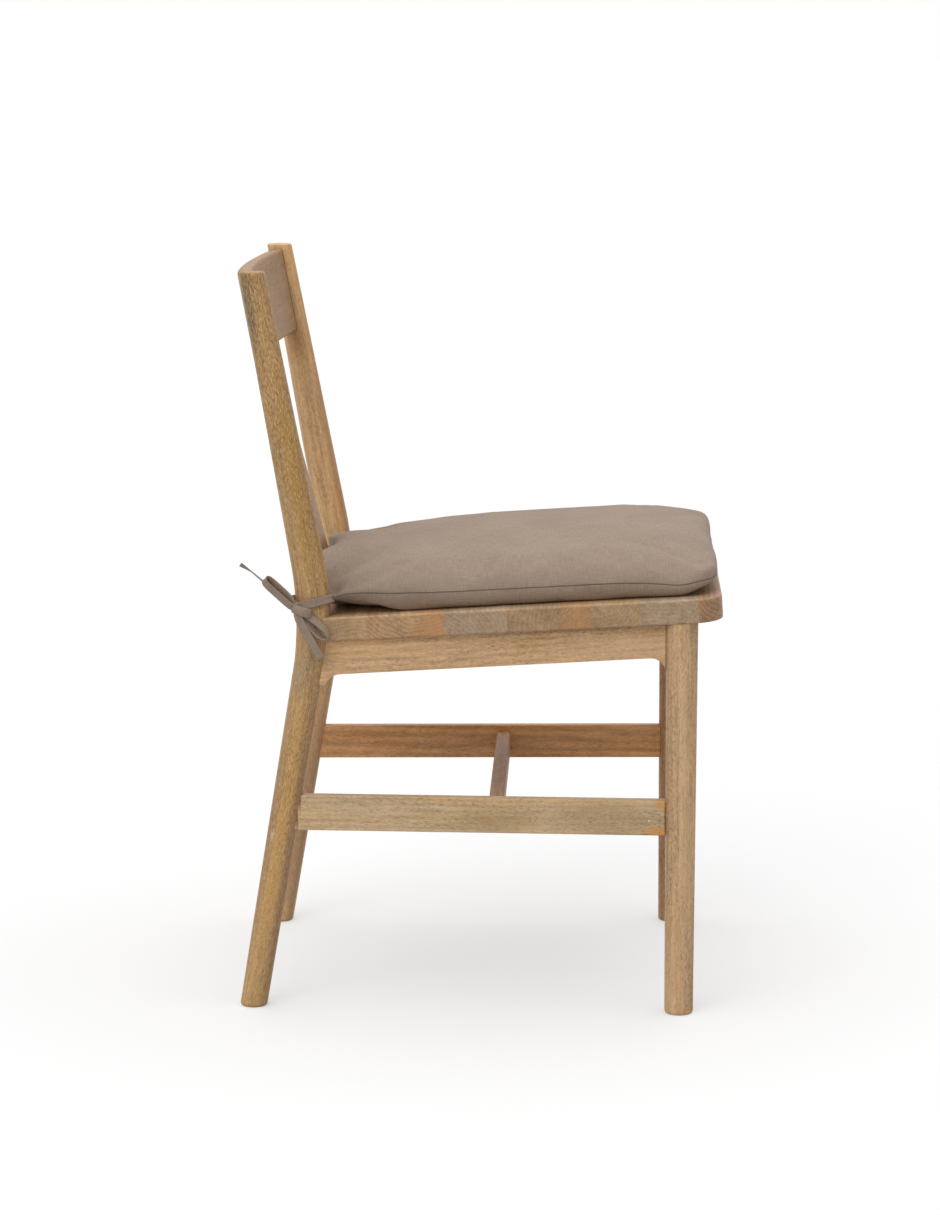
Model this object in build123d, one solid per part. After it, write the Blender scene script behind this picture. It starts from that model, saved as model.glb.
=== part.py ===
from build123d import *
import os
from math import atan2, cos, degrees, hypot, radians, sin, tan

# Wooden dining chair: bent rear posts, plank seat, one centre splat and a tied cushion.
# Millimetres, +Z up, the front faces -Y, the origin is on the floor under the middle.
# Left and right are the sitter's: left is +X. Left pieces are drawn, right ones mirrored.

# Rear posts: leg and back post in one bent piece, oval in section
overall_height = 800.0
rear_post_inset = 13.0
post_foot_y = 242.2
post_knee_y = 169.7
post_knee_z = 435.0
post_top_y = 237.0
knee_blend = 52.0
post_foot_width = 28.0
post_foot_depth = 29.5
post_shin_width = 31.0
post_shin_depth = 32.5
post_knee_width = 32.0
post_knee_depth = 36.5
post_top_width = 27.0
post_top_depth = 28.0
post_top_round = 1.8
foot_round = 3.5

# Front legs: straight and round, a little slimmer at the foot
front_leg_inset = 20.0
front_leg_y = -220.5
front_leg_foot_diameter = 31.0
front_leg_top_diameter = 34.5

# Plank seat: raked up to the front, glued up from staves that run from side to side
seat_front_y = -262.7
seat_front_height = 459.0
seat_rake = radians(3.75)
seat_thickness = 26.0
seat_behind_knee = 18.6
seat_front_width = 442.0
seat_width_at_posts = 396.0
seat_corner_radius = 30.0
seat_edge_round = 2.5
stave_widths_from_front = (26.0, 62.0, 53.0, 89.0, 67.0, 83.0)

# Aprons under the seat and stretchers between the legs
rail_face_from_leg_centre = 6.5
apron_thickness = 18.0
apron_height = 37.0
rear_apron_setback = 3.0
cove_length = 17.0
cove_drop = 12.0
stretcher_thickness = 13.0
stretcher_height = 38.5
stretcher_bottom_z = 197.3
stretcher_edge_round = 1.5
cross_stretcher_y = -21.9
cross_stretcher_thickness = 16.0
cross_stretcher_height = 26.0
cross_stretcher_edge_round = 3.0

# Back: a bowed crest rail and a flat splat
crest_below_post_top = 5.0
crest_height = 95.5
crest_thickness = 17.0
crest_bow = 18.5
crest_setback = 2.5
crest_edge_round = 2.5
splat_width = 95.0
splat_thickness = 12.5
splat_edge_round = 2.0

# Joinery: tenon sizes, and the room left for glue round every joint
tenon_depth = 9.0
apron_tenon_thickness = 9.0
stretcher_tenon_thickness = 8.0
crest_tenon_thickness = 8.0
tenon_shoulder = 7.0
splat_tenon_depth = 14.0
splat_tenon_cheek = 2.0
cross_tenon_depth = 8.0
cross_tenon_cheek = 3.0
glue_gap = 0.1

# Corner blocks and screws, hidden under the seat
block_reach = 30.0
block_width = 30.0
block_height = 22.0
block_screw_from_edge = 18.0
block_screw_seat = 10.0
block_screw_in_apron = 11.0
screw_diameter = 4.0
screw_head_diameter = 8.0
screw_head_height = 3.0
seat_screw_in_seat = 15.0
screw_hole_gap = 0.1

# Cushion: two fabric panels sewn at one seam, round a soft filling
cushion_front_gap = 5.0
cushion_post_gap = 3.5
cushion_front_side_gap = 16.0
cushion_rear_side_gap = 3.0
cushion_front_corner = 38.0
cushion_rear_corner = 16.0
cushion_draw_in = 3.5
cushion_rear_bulge = 10.0
cushion_seam_height = 19.0
cushion_above_seat = 0.3
cushion_belly_inset = 13.0
cushion_shoulder_inset = 42.0
cushion_shoulder_rise = 32.0
cushion_crown_half = 45.0
cushion_dome_rise = 9.0
fabric_thickness = 0.8
filling_gap = 0.3

# Ties: a fabric tape round each post, knotted in a bow on its outer side
tape_width = 9.0
tape_thickness = 1.0
tie_post_gap = 0.6
tie_band_above_seat = 3.0
knot_size = (8.0, 17.0, 14.0)
knot_round = 3.0
knot_bed = 6.0
knot_gap = 0.3
knot_place = (187.0, 441.0)
upper_loop_tip = (221.0, 472.0)
lower_loop_tip = (158.0, 412.0)
loop_half_width = 5.0
right_upper_tail_tip = (249.5, 489.5)
left_upper_tail_tip = (231.0, 478.0)
lower_tail_tip = (164.0, 385.0)
loop_width = 5.5


# Places, planes and lines that several pieces share
front_leg_x = seat_front_width / 2 - front_leg_inset
rear_post_x = seat_width_at_posts / 2 - rear_post_inset
seat_plane = Plane(
    origin=(0, seat_front_y, seat_front_height),
    x_dir=(1, 0, 0),
    z_dir=(0, sin(seat_rake), cos(seat_rake)),
)
underside = seat_plane.offset(-seat_thickness)
seat_slope_length = (post_knee_y + seat_behind_knee - seat_front_y) / cos(seat_rake)
post_foot = Vector(rear_post_x, post_foot_y, 0)
post_knee = Vector(rear_post_x, post_knee_y, post_knee_z)
post_top = Vector(rear_post_x, post_top_y, overall_height)
shin_top = post_knee + (post_foot - post_knee).normalized() * knee_blend
back_start = post_knee + (post_top - post_knee).normalized() * knee_blend
knee_middle = (shin_top + back_start) * 0.25 + post_knee * 0.5
back_lean = atan2(post_top_y - post_knee_y, overall_height - post_knee_z)


def seat_top_z(y):
    """Height of the seat's upper face at a place along the chair."""
    return seat_front_height - (y - seat_front_y) * tan(seat_rake)


def underside_z(y):
    """Height of the seat's lower face at a place along the chair."""
    return seat_top_z(y) - seat_thickness / cos(seat_rake)


def shin_y(z):
    """Centre of a rear post below its knee."""
    return post_knee_y + (post_foot_y - post_knee_y) * (post_knee_z - z) / post_knee_z


def rear_post_blank(grow=0.0):
    """A rear post without mortises, or grown all round to cut its place in other pieces."""

    def oval(place, width, depth):
        return Pos(*place) * Ellipse(width / 2 + grow, depth / 2 + grow)

    foot = oval(post_foot, post_foot_width, post_foot_depth)
    shin = oval(shin_top, post_shin_width, post_shin_depth)
    knee = oval(knee_middle, post_knee_width, post_knee_depth)
    back = oval(back_start, post_knee_width, post_knee_depth)
    top = oval(post_top, post_top_width, post_top_depth)
    return loft([foot, shin], ruled=True) + loft([shin, knee, back]) + loft([back, top], ruled=True)


def front_leg_blank(grow=0.0):
    """A front leg without mortises, standing up to the seat."""
    leg = Cone(front_leg_foot_diameter / 2 + grow, front_leg_top_diameter / 2 + grow, seat_front_height)
    leg = Pos(front_leg_x, front_leg_y, seat_front_height / 2) * leg
    return split(leg, bisect_by=underside, keep=Keep.BOTTOM)


def side_rail_plane(rear_y):
    """Upright plane from the front leg's centre to the rear post's, seen from outside."""
    along = Vector(rear_post_x - front_leg_x, rear_y - front_leg_y, 0).normalized()
    return Plane(origin=(front_leg_x, front_leg_y, 0), x_dir=along, z_dir=along.cross(Vector(0, 0, 1)))


def apron_outline(length, bottom_start, bottom_end, top, leg_start, leg_end):
    """Apron seen from its face: a straight bottom edge that coves down to both legs."""
    start = leg_start + cove_length
    end = length - leg_end - cove_length
    slope = (bottom_end - bottom_start) / length
    low_start = bottom_start + slope * start
    low_end = bottom_start + slope * end
    start_cove = TangentArc((start, low_start), (leg_start, low_start - cove_drop), tangent=(-1, -slope))
    end_cove = TangentArc((end, low_end), (length - leg_end, low_end - cove_drop), tangent=(1, slope))
    edge = Line((start, low_start), (end, low_end))
    rest = Polyline(
        (leg_start, low_start - cove_drop),
        (0, low_start - cove_drop),
        (0, top),
        (length, top),
        (length, low_end - cove_drop),
        (length - leg_end, low_end - cove_drop),
    )
    return make_face(start_cove + edge + end_cove + rest)


def tenon_bar(plane, start, end, bottom, top, offset, thickness, grow=0.0):
    """A tenon along a rail, or grown by the glue room to cut its mortise."""
    bar = Box(end - start + 2 * grow, top - bottom + 2 * grow, thickness + 2 * grow)
    return plane * Pos((start + end) / 2, (bottom + top) / 2, offset) * bar


def right_hand(piece):
    """The same piece for the other side of the chair."""
    return mirror(piece, about=Plane.YZ)


# Blanks of the four uprights, and the same grown by the glue room
post = rear_post_blank()
post_room = rear_post_blank(glue_gap)
leg = front_leg_blank()
leg_room = front_leg_blank(glue_gap)
both_posts_room = post_room + right_hand(post_room)
both_legs_room = leg_room + right_hand(leg_room)
leg_radius = front_leg_top_diameter / 2
leg_taper = (front_leg_top_diameter - front_leg_foot_diameter) / 2 / seat_front_height
shin_radius = post_shin_depth / 2

# Side apron, coved at both ends, with a tenon into the leg and one into the post
apron_rear_y = shin_y(underside_z(post_knee_y) - apron_height / 2)
apron_plane = side_rail_plane(apron_rear_y)
apron_length = hypot(rear_post_x - front_leg_x, apron_rear_y - front_leg_y)
apron_front_bottom = underside_z(front_leg_y) - apron_height
apron_rear_bottom = underside_z(apron_rear_y) - apron_height
apron_offset = rail_face_from_leg_centre - apron_thickness / 2
side_outline = apron_outline(
    apron_length, apron_front_bottom, apron_rear_bottom, seat_front_height, leg_radius, shin_radius
)
side_apron = extrude(apron_plane.offset(rail_face_from_leg_centre) * side_outline, amount=-apron_thickness)
side_apron = split(side_apron, bisect_by=underside, keep=Keep.BOTTOM)
side_apron = side_apron - leg_room - post_room


def side_apron_tenons(grow=0.0):
    front = tenon_bar(
        apron_plane,
        leg_radius - tenon_depth,
        leg_radius + tenon_depth,
        apron_front_bottom + tenon_shoulder,
        apron_front_bottom + apron_height - tenon_shoulder,
        apron_offset,
        apron_tenon_thickness,
        grow,
    )
    rear = tenon_bar(
        apron_plane,
        apron_length - shin_radius - tenon_depth,
        apron_length - shin_radius + tenon_depth,
        apron_rear_bottom + tenon_shoulder,
        apron_rear_bottom + apron_height - tenon_shoulder,
        apron_offset,
        apron_tenon_thickness,
        grow,
    )
    return front + rear


side_apron = side_apron + side_apron_tenons()
post = post - side_apron_tenons(glue_gap)
leg = leg - side_apron_tenons(glue_gap)


# Front and rear aprons, between the pairs of legs
def cross_apron(half_length, centre_y, outer_offset, leg_half, room):
    """An apron across the chair, its plane and its two tenons as a function of the glue room."""
    plane = Plane(origin=(-half_length, centre_y, 0), x_dir=(1, 0, 0), z_dir=(0, -1, 0))
    bottom = underside_z(centre_y) - apron_height
    outline = apron_outline(2 * half_length, bottom, bottom, seat_front_height, leg_half, leg_half)
    board = extrude(plane.offset(outer_offset) * outline, amount=-apron_thickness)
    board = split(board, bisect_by=underside, keep=Keep.BOTTOM) - room

    def tenons(grow=0.0):
        low = bottom + tenon_shoulder
        high = bottom + apron_height - tenon_shoulder
        middle = outer_offset - apron_thickness / 2
        start = leg_half - tenon_depth
        end = leg_half + tenon_depth
        near = tenon_bar(plane, start, end, low, high, middle, apron_tenon_thickness, grow)
        return near + right_hand(near)

    return board + tenons(), tenons


front_apron, front_apron_tenons = cross_apron(
    front_leg_x, front_leg_y, rail_face_from_leg_centre, leg_radius, both_legs_room
)
rear_apron_y = apron_rear_y + rear_apron_setback
rear_apron, rear_apron_tenons = cross_apron(
    rear_post_x, rear_apron_y, apron_thickness / 2, post_shin_width / 2, both_posts_room
)
rear_apron = rear_apron - side_apron - right_hand(side_apron)
leg = leg - front_apron_tenons(glue_gap)
post = post - rear_apron_tenons(glue_gap)

# Side stretcher, level, and the cross stretcher let in between the pair
stretcher_top_z = stretcher_bottom_z + stretcher_height
stretcher_middle_z = stretcher_bottom_z + stretcher_height / 2
stretcher_rear_y = shin_y(stretcher_middle_z)
stretcher_plane = side_rail_plane(stretcher_rear_y)
stretcher_length = hypot(rear_post_x - front_leg_x, stretcher_rear_y - front_leg_y)
stretcher_offset = rail_face_from_leg_centre - stretcher_thickness / 2
stretcher_board = tenon_bar(
    stretcher_plane,
    0,
    stretcher_length,
    stretcher_bottom_z,
    stretcher_top_z,
    stretcher_offset,
    stretcher_thickness,
)
stretcher_board = fillet(
    stretcher_board.edges().filter_by(lambda edge: edge.length > stretcher_length / 2), stretcher_edge_round
)
side_stretcher = stretcher_board - leg_room - post_room


def side_stretcher_tenons(grow=0.0):
    low = stretcher_bottom_z + tenon_shoulder
    high = stretcher_top_z - tenon_shoulder
    leg_face = front_leg_foot_diameter / 2 + leg_taper * stretcher_middle_z
    front = tenon_bar(
        stretcher_plane,
        leg_face - tenon_depth,
        leg_face + tenon_depth,
        low,
        high,
        stretcher_offset,
        stretcher_tenon_thickness,
        grow,
    )
    rear = tenon_bar(
        stretcher_plane,
        stretcher_length - shin_radius - tenon_depth,
        stretcher_length - shin_radius + tenon_depth,
        low,
        high,
        stretcher_offset,
        stretcher_tenon_thickness,
        grow,
    )
    return front + rear


side_stretcher = side_stretcher + side_stretcher_tenons()
leg = leg - side_stretcher_tenons(glue_gap)
post = post - side_stretcher_tenons(glue_gap)

along_stretcher = (cross_stretcher_y - front_leg_y) / stretcher_plane.x_dir.Y
cross_at = (
    stretcher_plane.origin
    + stretcher_plane.x_dir * along_stretcher
    + stretcher_plane.z_dir * (stretcher_offset - stretcher_thickness / 2)
)
cross_half = cross_at.X
cross_bar = Pos(0, cross_stretcher_y, stretcher_middle_z) * Box(
    2 * cross_half + stretcher_thickness, cross_stretcher_thickness, cross_stretcher_height
)
cross_bar = fillet(cross_bar.edges().filter_by(Axis.X), cross_stretcher_edge_round)
cross_stretcher = cross_bar - stretcher_board - right_hand(stretcher_board)
cross_stretcher = cross_stretcher.solids().sort_by(SortBy.VOLUME)[-1]


def cross_tenons(grow=0.0):
    reach = cross_half + cross_tenon_depth
    bar = Box(
        2 * reach + 2 * grow,
        cross_stretcher_thickness - 2 * cross_tenon_cheek + 2 * grow,
        cross_stretcher_height - 2 * cross_tenon_cheek + 2 * grow,
    )
    return Pos(0, cross_stretcher_y, stretcher_middle_z) * bar


cross_stretcher = cross_stretcher + cross_tenons()
side_stretcher = side_stretcher - cross_tenons(glue_gap)

# Crest rail, bowed backwards between the posts and leaning with them
crest_top_z = overall_height - crest_below_post_top
crest_top_y = post_top_y - crest_below_post_top * tan(back_lean)
lean_axis = Vector(0, sin(back_lean), cos(back_lean))
crest_foot = Vector(0, crest_top_y, crest_top_z) - lean_axis * crest_height
crest_plane = Plane(origin=crest_foot, x_dir=(1, 0, 0), z_dir=lean_axis)
crest_front = crest_setback - crest_thickness / 2
crest_back = crest_setback + crest_thickness / 2


def crest_arc(offset):
    """One face of the crest seen from above: from post to post, bowed backwards."""
    return ThreePointArc((-rear_post_x, offset), (0, offset + crest_bow), (rear_post_x, offset))


right_end = Line((-rear_post_x, crest_front), (-rear_post_x, crest_back))
left_end = Line((rear_post_x, crest_front), (rear_post_x, crest_back))
crest_section = make_face(crest_arc(crest_front) + crest_arc(crest_back) + right_end + left_end)
crest_rail = extrude(crest_plane * crest_section, amount=crest_height)
crest_rail = fillet(crest_rail.edges().filter_by(GeomType.CIRCLE), crest_edge_round)
crest_rail = crest_rail - both_posts_room


def crest_tenons(grow=0.0):
    face = rear_post_x - post_top_width / 2
    end_slope = 2 * crest_bow / rear_post_x
    centre = crest_setback + end_slope * (post_top_width / 2)
    bar = Box(
        2 * tenon_depth + 2 * grow,
        crest_tenon_thickness + 2 * grow,
        crest_height - 2 * tenon_shoulder + 2 * grow,
    )
    bar = crest_plane * Pos(face, centre, crest_height / 2) * bar
    return bar + right_hand(bar)


crest_rail = crest_rail + crest_tenons()
post = post - crest_tenons(glue_gap)

# Back splat, from the seat between the knees up into the middle of the crest
splat_foot = Vector(0, post_knee_y, seat_top_z(post_knee_y))
splat_head = crest_foot + crest_plane.y_dir * (crest_setback + crest_bow)
splat_length = (splat_head - splat_foot).length
splat_plane = Plane(origin=splat_foot, x_dir=(1, 0, 0), z_dir=(splat_head - splat_foot).normalized())
splat_blank = Box(splat_width, splat_thickness, splat_length + 4 * splat_thickness)
splat_blank = fillet(splat_blank.edges().filter_by(Axis.Z), splat_edge_round)
splat_blank = splat_plane * Pos(0, 0, splat_length / 2) * splat_blank
back_splat = split(splat_blank, bisect_by=seat_plane, keep=Keep.TOP)
back_splat = split(back_splat, bisect_by=crest_plane, keep=Keep.BOTTOM)


def splat_tenons(grow=0.0):
    bar = Box(
        splat_width - 2 * tenon_shoulder + 2 * grow,
        splat_thickness - 2 * splat_tenon_cheek + 2 * grow,
        splat_length + 2 * splat_tenon_depth + 2 * grow,
    )
    return splat_plane * Pos(0, 0, splat_length / 2) * bar


back_splat = back_splat + splat_tenons()
crest_rail = crest_rail - splat_tenons(glue_gap)


# Corner blocks inside the apron frame, each with two screws into the aprons and one up into the seat
def screw(length):
    """A round-headed screw that points up, with its head's bearing face at the origin."""
    head = Pos(0, 0, -screw_head_height / 2) * Cylinder(screw_head_diameter / 2, screw_head_height)
    shank = Pos(0, 0, length / 2) * Cylinder(screw_diameter / 2, length)
    return head + shank


def screw_hole(length, mouth):
    """The hole for such a screw, with a wider mouth for its head."""
    wide = Cylinder(screw_head_diameter / 2 + 2 * screw_hole_gap, mouth)
    narrow = Cylinder(screw_diameter / 2 + screw_hole_gap, length + screw_hole_gap)
    return Pos(0, 0, -mouth / 2) * wide + Pos(0, 0, (length + screw_hole_gap) / 2) * narrow


def pointing(place, direction):
    """Where a screw sits: its head at a place, its point in a direction."""
    return Plane(origin=place, z_dir=direction)


inner_line = apron_plane.offset(rail_face_from_leg_centre - apron_thickness)
blocks = {}
block_screws = []
seat_screws = []
seat_screw_holes = []
across = Vector(-1, 0, 0)
corners = (
    ("front", front_leg_y - rail_face_from_leg_centre + apron_thickness, 1),
    ("rear", rear_apron_y - apron_thickness / 2, -1),
)
for end, cross_face_y, turn in corners:
    step = (cross_face_y - inner_line.origin.Y) / inner_line.x_dir.Y
    corner = inner_line.origin + inner_line.x_dir * step
    along = inner_line.x_dir * turn
    reach = block_reach + block_width
    outline = Polyline(
        corner + along * block_reach,
        corner + along * reach,
        corner + across * reach,
        corner + across * block_reach,
        close=True,
    )
    middle = corner + (along + across) * ((block_reach + reach) / 4)
    block_bottom = underside_z(middle.Y) - block_height
    block = extrude(Pos(0, 0, block_bottom) * make_face(outline), amount=2 * block_height, dir=(0, 0, 1))
    block = split(block, bisect_by=underside, keep=Keep.BOTTOM)
    place = Vector(middle.X, middle.Y, block_bottom)
    seat_screws.append(pointing(place, (0, 0, 1)) * screw(block_height + seat_screw_in_seat))
    seat_hole = pointing(place, (0, 0, 1)) * screw_hole(block_height + seat_screw_in_seat, screw_head_height)
    seat_screw_holes.append(seat_hole)
    block = block - seat_hole
    screw_height = block_bottom + block_height / 2
    from_corner = reach - block_screw_from_edge
    apron_normals = (
        (corner + along * from_corner, inner_line.z_dir, "side"),
        (corner + across * from_corner, Vector(0, -turn, 0), "cross"),
    )
    for face_point, outward, kind in apron_normals:
        head_at = Vector(face_point.X, face_point.Y, screw_height) - outward * block_screw_seat
        seat = pointing(head_at, outward)
        length = block_screw_seat + block_screw_in_apron
        block_screws.append(seat * screw(length))
        hole = seat * screw_hole(length, block_width)
        block = block - hole
        if kind == "side":
            side_apron = side_apron - hole
        elif end == "front":
            front_apron = front_apron - hole - right_hand(hole)
        else:
            rear_apron = rear_apron - hole - right_hand(hole)
    blocks[end] = block

# Seat panel: a tapered board with a rounded rim, notched round the posts, then cut into its staves
front_half = seat_front_width / 2
posts_half = seat_width_at_posts / 2
notch_at = (knee_middle.Y - seat_front_y) / cos(seat_rake)
notch_length = seat_slope_length - notch_at
end_half = front_half + (posts_half - front_half) * seat_slope_length / notch_at
tongue_half = rear_post_x - post_knee_width / 2 - glue_gap
plan = make_face(
    Polyline(
        (-front_half, 0),
        (front_half, 0),
        (end_half, seat_slope_length),
        (-end_half, seat_slope_length),
        close=True,
    )
)
plan = fillet(plan.vertices().group_by(Axis.Y)[0], seat_corner_radius)
panel = extrude(plan, amount=-seat_thickness)
panel = fillet(panel.edges().filter_by(Plane.XY), seat_edge_round)
notch = Pos(tongue_half + seat_front_width / 2, notch_at + notch_length, 0) * Box(
    seat_front_width, 2 * notch_length, 4 * seat_thickness
)
panel = seat_plane * (panel - notch - right_hand(notch))
panel = panel - both_posts_room - splat_tenons(glue_gap)
for hole in seat_screw_holes:
    panel = panel - hole - right_hand(hole)

staves = []
stave_start = 0.0
last_width = seat_slope_length - sum(stave_widths_from_front)
for width in stave_widths_from_front + (last_width,):
    strip = Box(2 * seat_front_width, width, 4 * seat_thickness)
    staves.append(panel & (seat_plane * Pos(0, stave_start + width / 2, 0) * strip))
    stave_start += width


# Cushion: lofts through outlines whose sides draw in between the corners; the rear side swells
# out between the posts
post_front = (knee_middle.Y - post_knee_depth / 2 - seat_front_y) / cos(seat_rake)
cushion_length = post_front - cushion_post_gap - cushion_front_gap
cushion_front_width = seat_front_width - 2 * cushion_front_side_gap
cushion_rear_width = seat_width_at_posts - 2 * cushion_rear_side_gap
narrow_half = min(cushion_front_width, cushion_rear_width) / 2
cushion_dome_inset = narrow_half - cushion_shoulder_inset - cushion_crown_half


def cushion_outline(inset, height):
    """Seam-shaped outline on the seat's slope, moved in by an inset."""
    front = cushion_front_gap + inset
    rear = cushion_front_gap + cushion_length - inset
    front_x = cushion_front_width / 2 - inset
    rear_x = cushion_rear_width / 2 - inset
    corner_points = ((front_x, front), (rear_x, rear), (-rear_x, rear), (-front_x, front))
    radii = (cushion_front_corner, cushion_rear_corner, cushion_rear_corner, cushion_front_corner)
    sides = []
    rounds = []
    count = len(corner_points)
    draws = (cushion_draw_in, -cushion_rear_bulge, cushion_draw_in, cushion_draw_in)
    leaving = []
    arriving = []
    for i in range(count):
        here = Vector(*corner_points[i])
        to_next = (Vector(*corner_points[(i + 1) % count]) - here).normalized()
        to_last = (Vector(*corner_points[i - 1]) - here).normalized()
        leaving.append(here + to_next * radii[i])
        arriving.append(here + to_last * radii[i])
        bend = (to_next + to_last) * (radii[i] * (1 - 0.5**0.5))
        rounds.append(ThreePointArc(arriving[i], here + bend, leaving[i]))
    for i in range(count):
        start = leaving[i]
        end = arriving[(i + 1) % count]
        inward = (Vector(0, (front + rear) / 2) - (start + end) * 0.5).normalized()
        sides.append(ThreePointArc(start, (start + end) * 0.5 + inward * draws[i], end))
    edges = [edge for pair in zip(rounds, sides) for edge in pair]
    return seat_plane.offset(height) * make_face(sum(edges[1:], edges[0]))


def quarter_round(steps, inset, rise):
    """Even steps round a quarter of an oval, from the seam inwards, as insets and rises."""
    turns = [radians(90) * step / steps for step in range(steps + 1)]
    return [(inset * (1 - cos(turn)), rise * sin(turn)) for turn in turns]


def crown(wall):
    """Upper half of the cushion, or of the room inside a wall of that thickness."""
    rise = cushion_shoulder_rise - wall
    shoulder = [
        cushion_outline(wall + inset, cushion_seam_height + height)
        for inset, height in quarter_round(4, cushion_shoulder_inset, rise)
    ]
    dome = [
        cushion_outline(
            wall + cushion_shoulder_inset + cushion_dome_inset * share,
            cushion_seam_height + rise + cushion_dome_rise * share * (2 - share),
        )
        for share in (0.0, 0.5, 1.0)
    ]
    return loft(shoulder) + loft(dome)


def belly(wall):
    """Lower half, flat where it lies on the seat."""
    drop = cushion_seam_height - cushion_above_seat - wall
    return loft(
        [
            cushion_outline(wall + inset, cushion_seam_height - height)
            for inset, height in quarter_round(3, cushion_belly_inset, drop)
        ]
    )


cushion_top_panel = crown(0.0) - crown(fabric_thickness)
cushion_bottom_panel = belly(0.0) - belly(fabric_thickness)
cushion_filling = crown(fabric_thickness + filling_gap) + belly(fabric_thickness + filling_gap)

# Ties: a band round the post, a knot on its outer side, two loops and two tails,
# of which the upper one is cut longer on the right
band_bottom = seat_top_z(knee_middle.Y - post_knee_depth / 2) + tie_band_above_seat
band_gap = post_knee_depth / 2 + tie_post_gap
band_side = post_knee_width / 2 + tie_post_gap
ring = Ellipse(band_side + tape_thickness, band_gap + tape_thickness) - Ellipse(band_side, band_gap)
band_plane = Pos(rear_post_x, knee_middle.Y, band_bottom)
tie_band = extrude(band_plane * ring, amount=tape_width)
lead_x = cushion_rear_width / 2 - tape_thickness
lead_rear = knee_middle.Y - band_gap * (1 - ((lead_x - rear_post_x) / band_side) ** 2) ** 0.5
lead_front = seat_front_y + (cushion_front_gap + cushion_length + cushion_above_seat) * cos(seat_rake)
lead = Box(tape_thickness, lead_rear - lead_front, tape_width, align=(Align.CENTER, Align.MIN, Align.MIN))
tie_band = tie_band + Pos(lead_x, lead_front, band_bottom) * lead

tie_face_x = rear_post_x + band_side + tape_thickness + tie_post_gap
bow_plane = Plane(origin=(tie_face_x, 0, 0), x_dir=(0, 1, 0), z_dir=(1, 0, 0))
knot = Box(knot_size[1], knot_size[2], knot_size[0] + knot_bed)
knot = Pos(*knot_place, (knot_size[0] - knot_bed) / 2) * fillet(knot.edges(), knot_round)
band_room = Ellipse(band_side + tape_thickness + knot_gap, band_gap + tape_thickness + knot_gap)
knot = bow_plane * knot - extrude(band_plane * band_room, amount=2 * knot_size[2], both=True)


def bow_loop(tip):
    """A loop of tape that stands out from the knot, seen as a long ring."""
    centre = ((knot_place[0] + tip[0]) / 2, (knot_place[1] + tip[1]) / 2)
    half = hypot(tip[0] - knot_place[0], tip[1] - knot_place[1]) / 2
    turn = degrees(atan2(tip[1] - knot_place[1], tip[0] - knot_place[0]))
    outer = Ellipse(half, loop_half_width)
    inner = Ellipse(half - tape_thickness, loop_half_width - tape_thickness)
    shape = Pos(*centre) * Rot(0, 0, turn) * (outer - inner)
    return extrude(bow_plane.offset(knot_size[0] - loop_width) * shape, amount=loop_width) - knot


def bow_tail(tip, across_face):
    """A straight tail of tape, seen on its edge or on its face."""
    length = hypot(tip[0] - knot_place[0], tip[1] - knot_place[1])
    turn = degrees(atan2(tip[1] - knot_place[1], tip[0] - knot_place[0]))
    seen = tape_width if across_face else tape_thickness
    depth = tape_thickness if across_face else knot_size[0] - loop_width - tie_post_gap
    shape = Pos(*knot_place) * Rot(0, 0, turn) * Pos(length / 2, 0) * Rectangle(length, seen)
    tail = extrude(bow_plane * shape, amount=depth) - knot
    print("tie tail length", round(length - knot_size[1] / 2, 1))
    return tail.solids().sort_by(SortBy.VOLUME)[-1]


tie_loops = bow_loop(upper_loop_tip) + bow_loop(lower_loop_tip)
lower_tail = bow_tail(lower_tail_tip, True)
left_tails = bow_tail(left_upper_tail_tip, False) + lower_tail
right_tails = bow_tail(right_upper_tail_tip, False) + lower_tail

# Round the feet and the tops of the posts last, when every mortise is cut
leg = fillet(leg.faces().sort_by(Axis.Z)[0].edges(), foot_round)
post = fillet(post.faces().sort_by(Axis.Z)[0].edges(), foot_round)
post = fillet(post.faces().sort_by(Axis.Z)[-1].edges(), post_top_round)

pieces = {
    "crest_rail": crest_rail,
    "back_splat": back_splat,
    "front_apron": front_apron,
    "rear_apron": rear_apron,
    "cross_stretcher": cross_stretcher,
    "cushion_top_panel": cushion_top_panel,
    "cushion_bottom_panel": cushion_bottom_panel,
    "cushion_filling": cushion_filling,
    "tie_tails_left": left_tails,
    "tie_tails_right": right_hand(right_tails),
}
left_pieces = {
    "rear_post": post,
    "front_leg": leg,
    "side_apron": side_apron,
    "side_stretcher": side_stretcher,
    "corner_block_front": blocks["front"],
    "corner_block_rear": blocks["rear"],
    "tie_band": tie_band,
    "tie_knot": knot,
    "tie_loops": tie_loops,
}
for name, shape in left_pieces.items():
    pieces[name + "_left"] = shape
    pieces[name + "_right"] = right_hand(shape)
for number, stave in enumerate(staves, start=1):
    pieces[f"seat_stave_{number}"] = stave
pieces["corner_block_screws"] = Compound(block_screws + [right_hand(one) for one in block_screws])
pieces["seat_screws"] = Compound(seat_screws + [right_hand(one) for one in seat_screws])

os.makedirs("parts", exist_ok=True)
for name, shape in pieces.items():
    export_step(shape, f"parts/{name}.step")
print(len(pieces), "pieces written")
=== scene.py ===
# %% [markdown]
# # A wooden dining chair with a tied seat cushion
#
# The chair's solids come ready made, each piece where the joiner would put it. This lesson
# gives them what a camera sees: wood with grain and pores, a sewn linen cushion that is
# blown up as cloth, and the fabric ties that hold it to the rear posts.
#
# Loading comes first, and at the end the size of the dressed chair is measured.

# %% Load the chair
import math
from math import cos, pi, radians, sin

import bpy
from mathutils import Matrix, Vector
from mathutils.kdtree import KDTree


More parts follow.
